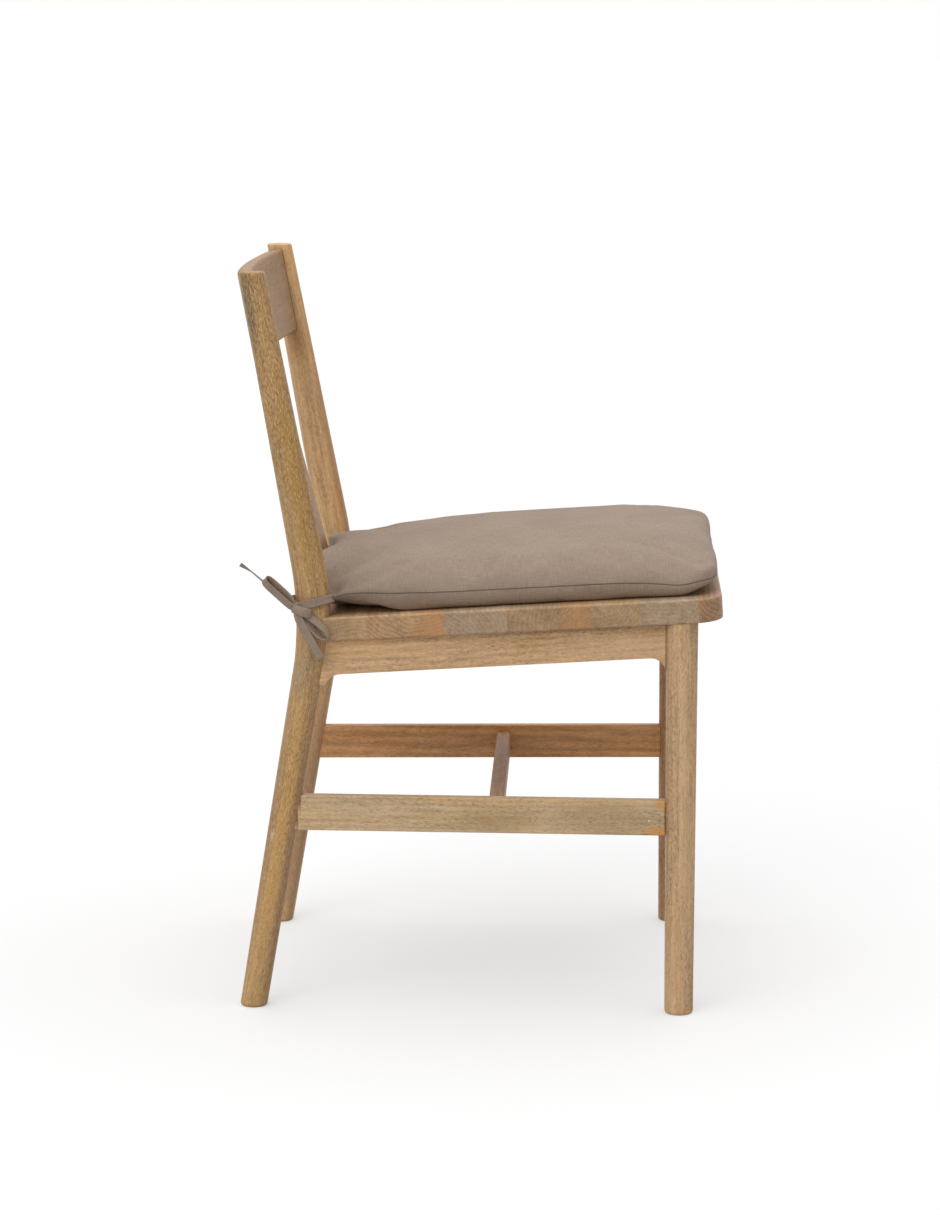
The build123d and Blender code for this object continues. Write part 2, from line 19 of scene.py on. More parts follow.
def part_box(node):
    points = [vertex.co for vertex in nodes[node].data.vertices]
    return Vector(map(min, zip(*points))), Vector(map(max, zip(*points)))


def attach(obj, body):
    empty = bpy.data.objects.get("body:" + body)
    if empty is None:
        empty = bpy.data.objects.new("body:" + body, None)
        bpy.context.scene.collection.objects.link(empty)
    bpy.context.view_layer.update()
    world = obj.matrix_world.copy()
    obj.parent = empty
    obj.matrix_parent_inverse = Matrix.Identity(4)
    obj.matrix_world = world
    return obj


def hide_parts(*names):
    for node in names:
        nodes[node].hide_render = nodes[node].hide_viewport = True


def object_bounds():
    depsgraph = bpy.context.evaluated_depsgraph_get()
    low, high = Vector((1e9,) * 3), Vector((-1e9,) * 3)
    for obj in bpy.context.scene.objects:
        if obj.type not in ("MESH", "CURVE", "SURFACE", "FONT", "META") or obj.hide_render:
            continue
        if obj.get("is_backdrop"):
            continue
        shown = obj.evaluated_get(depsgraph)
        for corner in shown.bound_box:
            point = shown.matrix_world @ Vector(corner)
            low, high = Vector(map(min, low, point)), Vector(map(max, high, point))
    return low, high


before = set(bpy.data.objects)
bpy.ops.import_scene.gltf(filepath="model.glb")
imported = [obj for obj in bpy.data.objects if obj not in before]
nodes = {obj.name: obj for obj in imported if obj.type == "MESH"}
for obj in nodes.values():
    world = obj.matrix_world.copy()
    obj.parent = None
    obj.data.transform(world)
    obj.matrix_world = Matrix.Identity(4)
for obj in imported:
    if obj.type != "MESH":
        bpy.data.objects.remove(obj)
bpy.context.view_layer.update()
scene = bpy.context.scene

# %% [markdown]
# ## The camera
#
# The picture was taken from a little over four metres, square to the chair's right side and
# slightly above the seat, with a long lens. Such a lens keeps the near and far legs almost
# the same size. The direction is given as a forward vector and turned into a rotation.

# %% Camera
image_height = 1215
focal_pixels = 3877.85
sensor = 36.0
lens_data = bpy.data.cameras.new("camera")
lens_data.sensor_width = sensor
lens_data.lens = focal_pixels * sensor / image_height
camera = bpy.data.objects.new("camera", lens_data)
camera.location = (-4.2695, -0.1215, 1.1579)
camera.rotation_euler = Vector((0.98449, 0.03075, -0.17272)).to_track_quat("-Z", "Y").to_euler()
scene.collection.objects.link(camera)
scene.camera = camera
scene.view_settings.view_transform = "Standard"
print("lens", round(lens_data.lens, 1), "mm")

# %% [markdown]
# ## Small helpers for shader nodes
#
# Procedural materials are chains of nodes. One short function fills a node's inputs: a number
# goes straight in, and another node's output is linked. A second adds a node and sets it up.
# Colours are written as they look on a screen, 0 to 255, and turned into linear light.


# %% Node helpers
def fill(tree, made, inputs):
    for key, value in inputs.items():
        if isinstance(value, bpy.types.NodeSocket):
            tree.links.new(value, made.inputs[key])
        else:
            made.inputs[key].default_value = value


def node(tree, kind, inputs=None, **options):
    made = tree.nodes.new("ShaderNode" + kind)
    for key, value in options.items():
        setattr(made, key, value)
    fill(tree, made, inputs or {})
    return made


def screen(red, green, blue):
    def linear(value):
        value = value / 255
        return value / 12.92 if value <= 0.04045 else ((value + 0.055) / 1.055) ** 2.4

    return (linear(red), linear(green), linear(blue), 1.0)


def new_material(name):
    material = bpy.data.materials.new(name)
    material.use_nodes = True
    tree = material.node_tree
    return material, tree, tree.nodes["Principled BSDF"]


print("node helpers ready")

# %% [markdown]
# ## Shorthand for textures
#
# A texture is a chain of a few kinds of steps: stretch space, read a noise in it, pick a
# range of its values, and mix colours by what comes out. Each kind of step gets a short
# function. A socket knows the node tree it belongs to, so the tree need not be passed on.


# %% Texture helpers
def vectors(operation, first, second):
    wanted = {0: first, 1: second}
    return node(first.id_data, "VectorMath", wanted, operation=operation).outputs["Vector"]


def scaled(vector, amounts):
    return vectors("MULTIPLY", vector, amounts)


def noise(vector, detail=2.0, roughness=0.5):
    wanted = {"Vector": vector, "Scale": 1.0, "Detail": detail, "Roughness": roughness}
    return node(vector.id_data, "TexNoise", wanted).outputs["Fac"]


def span(value, low, high, start=0.0, end=1.0):
    """Stretch the part of a value between low and high over start to end."""
    wanted = {"Value": value, "From Min": low, "From Max": high, "To Min": start, "To Max": end}
    return node(value.id_data, "MapRange", wanted).outputs["Result"]


def maths(operation, first, second=0.0):
    return node(first.id_data, "Math", {0: first, 1: second}, operation=operation).outputs["Value"]


def blend(share, first, second, kind="MIX"):
    wanted = {0: share, 6: first, 7: second}
    return node(share.id_data, "Mix", wanted, data_type="RGBA", blend_type=kind).outputs[2]


print("texture helpers ready")

# %% [markdown]
# ## The floor
#
# A studio shot on white: a wide matt floor takes the chair's soft shadow. A truly white floor
# would light the chair from below and flatten it. So the floor itself is a mid grey, and a
# glow brings it up to white only for the camera and for reflections.

# %% Floor
floor_half = 30.0
floor_grey = (0.55, 0.55, 0.55, 1)
floor_glow = 0.42
corners = [(x * floor_half, y * floor_half, 0) for x, y in ((-1, -1), (1, -1), (1, 1), (-1, 1))]
floor_mesh = bpy.data.meshes.new("floor")
floor_mesh.from_pydata(corners, [], [(0, 1, 2, 3)])
floor = bpy.data.objects.new("floor", floor_mesh)
scene.collection.objects.link(floor)
floor_paint, tree, shader = new_material("floor_white")
fill(tree, shader, {"Base Color": floor_grey, "Roughness": 0.9, "Specular IOR Level": 0.0})


def seen(tree):
    """One for camera rays and for reflections, zero for other light."""
    ray = node(tree, "LightPath").outputs
    mirrored_too = maths("MAXIMUM", ray["Is Camera Ray"], ray["Is Glossy Ray"])
    return maths("MAXIMUM", mirrored_too, ray["Is Transmission Ray"])


glow = node(tree, "Emission", {"Strength": maths("MULTIPLY", seen(tree), floor_glow)})
both = node(tree, "AddShader", {0: shader.outputs[0], 1: glow.outputs[0]})
fill(tree, tree.nodes["Material Output"], {"Surface": both.outputs[0]})
floor_mesh.materials.append(floor_paint)
floor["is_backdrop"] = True
print("floor", 2 * floor_half, "m wide")

# %% [markdown]
# ## The world
#
# The world follows the floor: white where the camera sees it or a surface mirrors it, and
# much dimmer as a light on the chair.

# %% World
white = (1, 1, 1, 1)
ambient_strength = 0.35
world = bpy.data.worlds.new("studio")
scene.world = world
world.use_nodes = True
tree = world.node_tree
ambient = tree.nodes["Background"]
fill(tree, ambient, {"Color": white, "Strength": ambient_strength})
backdrop = node(tree, "Background", {"Color": white, "Strength": 1.0})
chosen = node(tree, "MixShader", {0: seen(tree), 1: ambient.outputs[0], 2: backdrop.outputs[0]})
fill(tree, tree.nodes["World Output"], {"Surface": chosen.outputs[0]})
print("ambient light", ambient_strength)

# %% [markdown]
# ## Lights
#
# A white studio lights floor and chair evenly, so the lamps are suns: they are as bright
# everywhere, and the floor stays white to the horizon. A sun with a wide angle acts like a
# large soft box and gives soft-edged shadows. The stronger one hangs overhead, which makes
# the tops of things the lightest. The other comes from above the camera's left, so round legs
# are lightest a little left of their middle and darken to the right.


# %% Soft lamps
def soft_sun(name, direction, angle, power):
    lamp = bpy.data.lights.new(name, "SUN")
    lamp.angle = radians(angle)
    lamp.energy = power
    light = bpy.data.objects.new(name, lamp)
    light.rotation_euler = Vector(direction).to_track_quat("-Z", "Y").to_euler()
    scene.collection.objects.link(light)
    return light


soft_sun("top_light", (-0.05, 0.05, -1.0), 90, 1.85)
soft_sun("camera_light", (0.76, -0.38, -0.53), 45, 0.92)
print(len(bpy.data.lights), "lights")

# %% [markdown]
# ## Wood
#
# The chair is a light brown hardwood with open pores: short dark dashes that run with the
# grain, over paler and darker streaks. Real wood is a solid with rings round a pith, and the
# material is built the same way, so a board's face shows long streaks and its cut end shows
# ring arcs and dots, from one texture in three dimensions.
#
# Space is first turned so that its X axis lies along the grain. Later it is squeezed along
# that axis, and a noise in the squeezed space looks like long fibres. Rear posts are bent, so
# their space is straightened before that, and the grain follows the bend.


# %% Grain space
def straightened(tree, bend):
    """Object space, in which a bent post is made straight."""
    place = node(tree, "TexCoord").outputs["Object"]
    if not bend:
        return place
    knee_z, slope = bend
    parts = node(tree, "SeparateXYZ", {0: place})
    height = maths("SUBTRACT", parts.outputs["Z"], knee_z)
    shift = maths("MULTIPLY", maths("ABSOLUTE", height), slope)
    level = maths("SUBTRACT", parts.outputs["Y"], shift)
    joined = {"X": parts.outputs["X"], "Y": level, "Z": parts.outputs["Z"]}
    return node(tree, "CombineXYZ", joined).outputs[0]


def along_grain(tree, place, grain, pith, seed):
    """The space with its pith at zero and X along the grain; a seed picks a stretch of tree."""
    turn = Vector(grain).rotation_difference(Vector((1, 0, 0))).to_euler()
    centred = vectors("SUBTRACT", place, pith)
    turned = node(tree, "Mapping", {"Vector": centred, "Rotation": turn}).outputs["Vector"]
    return vectors("ADD", turned, (seed, 0, 0))


print("grain space ready")

# %% [markdown]
# ## Layers of grain
#
# From large to small: rings round the pith, long patches that are lighter or darker, bands
# that lean to gold or to grey, thin streaks, a short mottle and hair-fine fibres. Pores are
# dark dashes, denser where a patch is dark, and glints are light dashes between them. Each
# layer but the rings is one noise in the same squeezed space, so all run along the fibres.


# %% Grain layers
def grain_layers(tree, fibres, ring):
    """A shader value for each layer; the ring is the width of one year's growth."""

    def fibrous(along, across, detail, roughness=0.5):
        return noise(scaled(fibres, (along, across, across)), detail, roughness)

    growth = {
        "Vector": scaled(fibres, (0.06, 1, 1)),
        "Scale": pi / 10 / ring,
        "Distortion": 5.0,
        "Detail": 3.0,
        "Detail Scale": 0.6,
        "Detail Roughness": 0.6,
    }
    layers = {
        "rings": node(tree, "TexWave", growth, wave_type="RINGS", rings_direction="X").outputs["Fac"],
        "patches": fibrous(3.5, 34, 3.0),
        "bands": fibrous(4.0, 85, 2.0),
        "streaks": fibrous(16, 280, 4.0, 0.65),
        "mottle": fibrous(48, 160, 3.0),
        "hairs": fibrous(110, 1300, 2.0),
        "glints": span(fibrous(210, 760, 2.0, 0.6), 0.45, 0.34),
    }
    pores = span(fibrous(230, 820, 2.0, 0.6), 0.53, 0.64)
    crowding = span(layers["patches"], 0.35, 0.62, 0.45, 1.0)
    layers["pores"] = maths("MULTIPLY", pores, crowding)
    return layers


print("grain layers ready")

# %% [markdown]
# ## Colour from the layers
#
# The layers add up to a depth, which runs from the light to the dark tone of the piece, and
# the bands tint it. Stains, and in two places painted shade, go on top: soft ovals of another
# colour, with a rim that the fibres make ragged. The near post also has a curly figure, small
# light islands in a net of dark lines, which fades out towards the seat. Cut ends soak up more
# finish and are darker.


# %% Wood colours
def ground_colour(tree, layers, mean, spread, rings):
    """Light to dark by the depth of the layers, then gold or grey by the bands."""
    light = tuple(min(1.0, value * (1 + spread)) for value in mean[:3]) + (1.0,)
    dark = tuple(value * (1 - spread) ** 1.3 for value in mean[:3]) + (1.0,)
    depth = maths("MULTIPLY", layers["rings"], rings)
    for layer, low, high, start, end in (
        ("patches", 0.32, 0.70, 0.05, 0.60),
        ("streaks", 0.30, 0.72, -0.28, 0.34),
        ("mottle", 0.28, 0.72, -0.20, 0.20),
        ("hairs", 0.25, 0.75, -0.28, 0.28),
    ):
        depth = maths("ADD", depth, span(layers[layer], low, high, start, end))
    depth = node(tree, "Clamp", {"Value": depth}).outputs[0]
    colour = blend(depth, light, dark)
    gold = span(layers["bands"], 0.52, 0.68, 0.0, 0.8)
    grey = span(layers["bands"], 0.46, 0.32, 0.0, 0.8)
    colour = blend(gold, colour, (1.0, 0.93, 0.78, 1), "MULTIPLY")
    return blend(grey, colour, (0.94, 0.95, 1.0, 1), "MULTIPLY")


def stained_and_shaded(tree, colour, layers, place, stains_and_shade):
    """Blend other colours into soft ovals, each a centre, a half size, a tint and a share."""
    by_streaks = span(layers["streaks"], 0.25, 0.75, -0.3, 0.3)
    by_hairs = span(layers["hairs"], 0.25, 0.75, -0.2, 0.2)
    ragged = maths("ADD", by_streaks, by_hairs)
    for centre, size, tint, share in stains_and_shade:
        offset = vectors("DIVIDE", vectors("SUBTRACT", place, centre), size)
        reach = node(tree, "VectorMath", {0: offset}, operation="LENGTH").outputs["Value"]
        reach = maths("ADD", reach, ragged)
        colour = blend(span(reach, 1.15, 0.45, 0.0, share), colour, screen(*tint))
    return colour


def curly(tree, colour, place, fibres, wander, amount):
    """Dark lines round small light islands, on the part of a post above the seat."""
    curled = vectors("ADD", scaled(fibres, (125, 640, 640)), wander)
    cells = {"Vector": curled, "Scale": 1.0}
    edge = node(tree, "TexVoronoi", cells, feature="DISTANCE_TO_EDGE").outputs["Distance"]
    height = node(tree, "SeparateXYZ", {0: place}).outputs["Z"]
    upper = span(height, 0.46, 0.62, 0.0, amount)
    lines = maths("MULTIPLY", span(edge, 0.0, 0.16, 0.8, 0.0), upper)
    islands = maths("MULTIPLY", span(edge, 0.16, 0.40), upper)
    colour = blend(lines, colour, (0.55, 0.44, 0.30, 1), "MULTIPLY")
    return blend(maths("MULTIPLY", islands, 0.5), colour, (0.42, 0.32, 0.14, 1), "SCREEN")


def darker_ends(tree, colour, grain):
    facing = {0: node(tree, "NewGeometry").outputs["Normal"], 1: Vector(grain).normalized()}
    along = node(tree, "VectorMath", facing, operation="DOT_PRODUCT").outputs["Value"]
    cut_end = span(maths("ABSOLUTE", along), 0.55, 0.90)
    share = maths("MULTIPLY", cut_end, 0.22)
    return blend(share, colour, (0.62, 0.55, 0.48, 1), "MULTIPLY")


print("wood colours ready")

# %% [markdown]
# ## One wood for each piece
#
# The material of a piece puts these together. Its fibres wander a little from the straight
# line, and the pores dent the thin satin lacquer and are duller than it.


# %% Wood material
def wood(
    name, mean, grain, pith, seed, bend=None, ring=0.006, rings=0.3,
    spread=0.22, pores=0.6, fleck=0.25, figure=0.0, stains_and_shade=(),
):
    material, tree, shader = new_material(name)
    place = straightened(tree, bend)
    space = along_grain(tree, place, grain, pith, seed)
    wander = {"Vector": scaled(space, (2.5, 22, 22)), "Scale": 1.0, "Detail": 2.0}
    wander = node(tree, "TexNoise", wander).outputs["Color"]
    drift = vectors("SUBTRACT", wander, (0.5, 0.5, 0.5))
    fibres = vectors("ADD", space, scaled(drift, (0.0, 0.012, 0.012)))
    layers = grain_layers(tree, fibres, ring)

    colour = ground_colour(tree, layers, mean, spread, rings)
    if stains_and_shade:
        colour = stained_and_shaded(tree, colour, layers, place, stains_and_shade)
    if figure:
        colour = curly(tree, colour, place, fibres, wander, figure)
    flecks = maths("MULTIPLY", layers["glints"], fleck)
    colour = blend(flecks, colour, (0.50, 0.38, 0.22, 1), "SCREEN")
    dashes = maths("MULTIPLY", layers["pores"], pores)
    colour = blend(dashes, colour, (0.40, 0.31, 0.24, 1), "MULTIPLY")
    height = maths("SUBTRACT", maths("MULTIPLY", layers["hairs"], 0.35), layers["pores"])
    bump = node(tree, "Bump", {"Height": height, "Strength": 0.3, "Distance": 0.0005})
    finish = {
        "Base Color": darker_ends(tree, colour, grain),
        "Roughness": span(layers["pores"], 0.0, 1.0, 0.42, 0.75),
        "Specular IOR Level": 0.2,
        "Normal": bump.outputs["Normal"],
    }
    fill(tree, shader, finish)
    return material


def dress(names, material):
    for name in names:
        mesh = nodes[name].data
        mesh.materials.clear()
        mesh.materials.append(material)


print("wood ready")

# %% [markdown]
# ## Tones and directions
#
# The boards differ in tone. The near rear post is golden, the near front leg is paler, the
# crest and the splat are a dull taupe brown, and the rails are olive or tan on the near side
# and redder on the far side. Grain runs the long way of each piece.

# %% Tones and directions
golden = screen(186, 149, 103)
tan = screen(204, 166, 125)
honey = screen(220, 179, 131)
pale = screen(199, 164, 125)
olive = screen(200, 171, 134)
taupe_brown = screen(161, 124, 87)
umber = screen(172, 129, 90)
reddish = screen(188, 145, 107)
russet = screen(210, 157, 108)

rake = radians(3.75)
upright = (0, 0, 1)
crosswise = (1, 0, 0)
lengthwise = (0, 1, 0)
sloping = (0, cos(rake), -sin(rake))
leaning = (0, 0.18, 1)
print("the seat falls", round(1000 * math.tan(rake)), "mm in a metre")

# %% [markdown]
# ## Stains and painted shade
#
# Some marks on the real wood have a place of their own, where no noise would put them: pale
# sapwood down the near post, orange corners on the near stretcher, a white speck, and the
# dark line of a joint where a rail meets a post. Two are painted shade: a dark grey strip on
# the rear side of the near post's top, and a darker front edge on the far post. A stain is
# its centre, its half size, its colour and how much of that colour it gives.

# %% Stains and painted shade
joint_shade = (92, 66, 46)
post_stains_and_shade = (
    # Painted shade: a dark grey strip on the rear side of the post's top.
    ((-0.195, 0.1825, 0.765), (0.022, 0.0060, 0.050), (122, 110, 88), 0.65),
    ((-0.200, 0.1675, 0.200), (0.020, 0.0085, 0.190), (202, 158, 96), 0.60),
    ((-0.200, 0.1760, 0.370), (0.020, 0.0120, 0.030), (156, 138, 114), 0.55),
    ((-0.195, 0.1830, 0.180), (0.020, 0.0055, 0.200), (164, 132, 102), 0.60),
    ((-0.195, 0.1560, 0.180), (0.020, 0.0050, 0.200), (168, 132, 100), 0.60),
    ((-0.200, 0.1660, 0.580), (0.020, 0.0085, 0.130), (184, 142, 74), 0.60),
    ((-0.201, 0.1772, 0.193), (0.010, 0.0022, 0.009), (214, 204, 188), 0.60),
)
far_post_stains_and_shade = (
    ((0.185, 0.170, 0.140), (0.040, 0.030, 0.170), (182, 146, 116), 0.75),
    # Painted shade: the far post's front edge is darkened along its length above the seat.
    ((0.185, 0.1540, 0.640), (0.040, 0.0060, 0.250), (178, 130, 86), 0.65),
    ((0.165, 0.1640, 0.690), (0.012, 0.0200, 0.030), (176, 120, 76), 0.50),
)
stretcher_stains = (
    ((-0.207, -0.200, 0.201), (0.020, 0.020, 0.007), (212, 152, 80), 0.80),
    ((-0.207, -0.202, 0.231), (0.020, 0.012, 0.006), (212, 152, 80), 0.80),
    ((-0.207, -0.140, 0.216), (0.020, 0.060, 0.022), (172, 146, 108), 0.60),
    ((-0.205, -0.020, 0.212), (0.020, 0.055, 0.016), (168, 140, 92), 0.50),
    ((-0.200, 0.120, 0.218), (0.020, 0.070, 0.016), (204, 174, 140), 0.45),
    ((-0.209, -0.2043, 0.216), (0.020, 0.0016, 0.030), joint_shade, 0.80),
    ((-0.200, 0.1894, 0.229), (0.020, 0.0016, 0.012), joint_shade, 0.80),
    ((-0.200, 0.1927, 0.208), (0.020, 0.0016, 0.012), joint_shade, 0.80),
    ((-0.208, -0.1865, 0.2135), (0.006, 0.0013, 0.0013), (232, 230, 224), 0.90),
)
apron_stains = (
    ((-0.209, -0.2035, 0.395), (0.020, 0.0016, 0.060), joint_shade, 0.6),
    ((-0.208, -0.140, 0.400), (0.020, 0.060, 0.020), (208, 174, 136), 0.45),
)
crest_stains = (
    ((0.1715, 0.228, 0.747), (0.0032, 0.060, 0.080), joint_shade, 0.9),
    ((-0.1715, 0.228, 0.747), (0.0032, 0.060, 0.080), joint_shade, 0.9),
)
all_stains_and_shade = (post_stains_and_shade, far_post_stains_and_shade, stretcher_stains, apron_stains, crest_stains)
print(sum(len(stains_and_shade) for stains_and_shade in all_stains_and_shade), "stains_and_shade")

# %% [markdown]
# ## Which wood goes where
#
# Each piece gets its own tone, its own pith and its own stretch of grain. The crest and the
# splat are cut from a smoother board with wide rings and small pores.

# %% Frame pieces
post_bend = (0.435, 0.1745)
smooth_board = {"ring": 0.010, "rings": 0.15, "spread": 0.12, "pores": 0.25, "fleck": 0.1}
frame_woods = {
    "rear_post_right": wood(
        "post_right_wood", golden, upright, (-0.24, 0.150, 0), 1.3, post_bend,
        pores=0.7, fleck=0.4, figure=0.8, stains_and_shade=post_stains_and_shade,
    ),
    "rear_post_left": wood(
        "post_left_wood", honey, upright, (0.23, 0.190, 0), 4.1, post_bend,
        pores=0.4, stains_and_shade=far_post_stains_and_shade,
    ),
    "front_leg_right": wood(
        "leg_right_wood", pale, upright, (-0.27, -0.26, 0), 2.2, pores=0.65, fleck=0.35
    ),
    "front_leg_left": wood("leg_left_wood", reddish, upright, (0.27, -0.19, 0), 5.7),
    "side_apron_right": wood(
        "apron_right_wood", tan, sloping, (-0.23, 0, 0.33), 3.4,
        pores=0.5, fleck=0.35, stains_and_shade=apron_stains,
    ),
    "side_apron_left": wood("apron_left_wood", reddish, sloping, (0.23, 0, 0.35), 6.2),
    "front_apron": wood("apron_front_wood", tan, crosswise, (0, -0.25, 0.33), 7.5),
    "rear_apron": wood("apron_rear_wood", tan, crosswise, (0, 0.22, 0.31), 8.8),
    "side_stretcher_right": wood(
        "stretcher_right_wood", olive, lengthwise, (-0.22, 0, 0.15), 9.1, stains_and_shade=stretcher_stains
    ),
    "side_stretcher_left": wood(
        "stretcher_left_wood", russet, lengthwise, (0.22, 0, 0.28), 10.6,
        ring=0.009, rings=0.4, pores=0.35,
    ),
    "cross_stretcher": wood(
        "stretcher_cross_wood", umber, crosswise, (0, -0.05, 0.18), 11.3, pores=0.3
    ),
    "crest_rail": wood(
        "crest_wood", taupe_brown, crosswise, (0, 0.16, 0.66), 12.9,
        stains_and_shade=crest_stains, **smooth_board,
    ),
    "back_splat": wood(
        "splat_wood", taupe_brown, leaning, (0.03, 0.12, 0.6), 13.4, **smooth_board
    ),
}
for name, material in frame_woods.items():
    dress([name], material)
blocks = [name for name in nodes if name.startswith("corner_block_") and "screws" not in name]
dress(blocks, wood("block_wood", pale, crosswise, (0, 0, 0.36), 14.2))
print(len(frame_woods), "frame pieces and", len(blocks), "corner blocks")

# %% [markdown]
# ## The seat's staves
#
# The seat is glued up from seven strips that run from side to side, so its side edges are a
# row of cut ends, each a little different in tone, some greyer and some more orange. A
# different pith for each strip turns the ring arcs a different way on every end.

# %% Seat staves
stave_tones = (
    (172, 137, 106),
    (176, 153, 126),
    (179, 149, 114),
    (179, 148, 114),
    (178, 152, 125),
    (193, 156, 118),
    (191, 158, 120),
)
warm_side = (196, 142, 92)
warm_staves = (4, 6)
ringed_staves = (1, 6)
for number, tone in enumerate(stave_tones, start=1):
    name = f"seat_stave_{number}"
    low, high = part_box(name)
    turn = 2.4 * number
    middle = (low + high) / 2
    pith = (0, middle.y + 0.05 * cos(turn), middle.z + 0.06 * sin(turn))
    warm_end = ((0, low.y + 0.012, middle.z), (1.0, 0.024, 0.03), warm_side, 0.55)
    stave = wood(
        name + "_wood", screen(*tone), crosswise, pith, 20.0 + number,
        ring=0.0045,
        rings=0.45 if number in ringed_staves else 0.26,
        pores=0.45,
        stains_and_shade=(warm_end,) if number in warm_staves else (),
    )
    dress([name], stave)
print(len(stave_tones), "staves")

# %% [markdown]
# ## Screws under the seat
#
# Screws hold the corner blocks to the aprons and the seat to the blocks. They are plain
# zinc-plated steel, with fine turned marks that catch the light.

# %% Steel
steel, tree, shader = new_material("screw_steel")
place = node(tree, "TexCoord").outputs["Object"]
marks = noise(scaled(place, (900, 900, 2600)), 2.0)
zinc = blend(marks, screen(150, 150, 146), screen(196, 196, 190))
sheen = span(marks, 0.3, 0.7, 0.30, 0.50)
fill(tree, shader, {"Metallic": 1.0, "Base Color": zinc, "Roughness": sheen})
dress(["corner_block_screws", "seat_screws"], steel)
print("screws dressed")

# %% [markdown]
# ## Linen
#
# The cushion and its ties are cut from one taupe cloth in plain weave. Two waves, one along
# each thread direction, make the over-and-under of the weave; long thin noises along the
# same two directions make the slubs, where a thread is thicker or darker. The threads follow
# the cloth, so the material reads the UV map, which is laid out in metres of cloth. On the
# cushion, the stitched line is darker, and painted shade darkens the cloth towards the ears.


# %% Linen material
def linen(name, light, dark, pitch, seam=False):
    material, tree, shader = new_material(name)
    cloth = node(tree, "UVMap", uv_map="cloth").outputs["UV"]
    threads = scaled(cloth, (2 * pi / pitch, 2 * pi / pitch, 0))
    parts = node(tree, "SeparateXYZ", {0: threads})
    warp = maths("SINE", parts.outputs["X"])
    weft = maths("SINE", parts.outputs["Y"])
    weave = maths("MULTIPLY", warp, weft)
    slub_long = noise(scaled(cloth, (70, 1300, 0)), 2.0)
    slub_cross = noise(scaled(cloth, (1300, 70, 0)), 2.0)
    cloud = noise(scaled(cloth, (11, 14, 0)), 3.0)

    shade = span(weave, -1.0, 1.0, 0.58, 0.42)
    shade = maths("ADD", shade, span(slub_long, 0.25, 0.75, -0.30, 0.30))
    shade = maths("ADD", shade, span(slub_cross, 0.25, 0.75, -0.24, 0.24))
    shade = maths("ADD", shade, span(cloud, 0.30, 0.70, -0.12, 0.12))
    colour = blend(node(tree, "Clamp", {"Value": shade}).outputs[0], light, dark)
    height = maths("ADD", maths("MULTIPLY", weave, 0.5), slub_long)
    height = maths("ADD", height, slub_cross)
    if seam:
        away = node(tree, "Attribute", attribute_name="seam_distance").outputs["Fac"]
        away = maths("ABSOLUTE", away)
        stitched = span(away, 0.0002, 0.0011, 1.0, 0.0)
        gather = noise(scaled(cloth, (160, 160, 0)), 1.0)
        lip = maths("MULTIPLY", span(away, 0.001, 0.012, 1.0, 0.0), gather)
        colour = blend(maths("MULTIPLY", stitched, 0.75), colour, screen(74, 60, 50))
        # Painted shade: the cloth darkens towards the rear ears.
        painted_ear_shade = node(tree, "Attribute", attribute_name="painted_ear_shade").outputs["Fac"]
        colour = blend(painted_ear_shade, colour, (0.60, 0.57, 0.54, 1), "MULTIPLY")
        height = maths("SUBTRACT", height, maths("MULTIPLY", stitched, 6.0))
        height = maths("ADD", height, maths("MULTIPLY", lip, 3.0))
    bump = node(tree, "Bump", {"Height": height, "Strength": 0.30, "Distance": 0.0004})
    finish = {
        "Base Color": colour,
        "Roughness": 0.85,
        "Specular IOR Level": 0.2,
        "Sheen Weight": 0.12,
        "Sheen Roughness": 0.5,
        "Normal": bump.outputs["Normal"],
    }
    fill(tree, shader, finish)
    return material


taupe = (screen(174, 154, 136), screen(133, 115, 99))
cushion_linen = linen("cushion_linen", *taupe, 0.0012, seam=True)
tie_linen = linen("tie_linen", *taupe, 0.0011)
print("linen ready")

# %% [markdown]
# ## The cushion's pattern
#
# A knife-edge cushion is two panels of cloth sewn together all round. Each panel here is a
# grid of small squares fitted into the seam's outline, and both grids share the vertices of
# the seam. The outline follows the seat: wide rounded corners at the front, tight ones at
# the rear, sides that draw in a little between the corners, and a rear edge that swells out
# between the posts.

# %% Seam outline
seat_front = Vector((0, -0.2627, 0.459))
slope_dir = Vector(sloping)
seat_up = Vector((0, sin(rake), cos(rake)))


def on_seat(across, along, height):
    """A point given by its place on the seat: across, back from the front edge, and up."""
    return seat_front + Vector((across, 0, 0)) + slope_dir * along + seat_up * height


front_edge, rear_edge = 0.0020, 0.416
front_half, rear_half = 0.205, 0.195
front_round, rear_round = 0.036, 0.011
draw_in = 0.0035
rear_bulge = 0.0115
outline_corners = [
    (Vector((-front_half, front_edge)), front_round),
    (Vector((front_half, front_edge)), front_round),
    (Vector((rear_half, rear_edge)), rear_round),
    (Vector((-rear_half, rear_edge)), rear_round),
]
corner_steps = 8
side_steps = 40


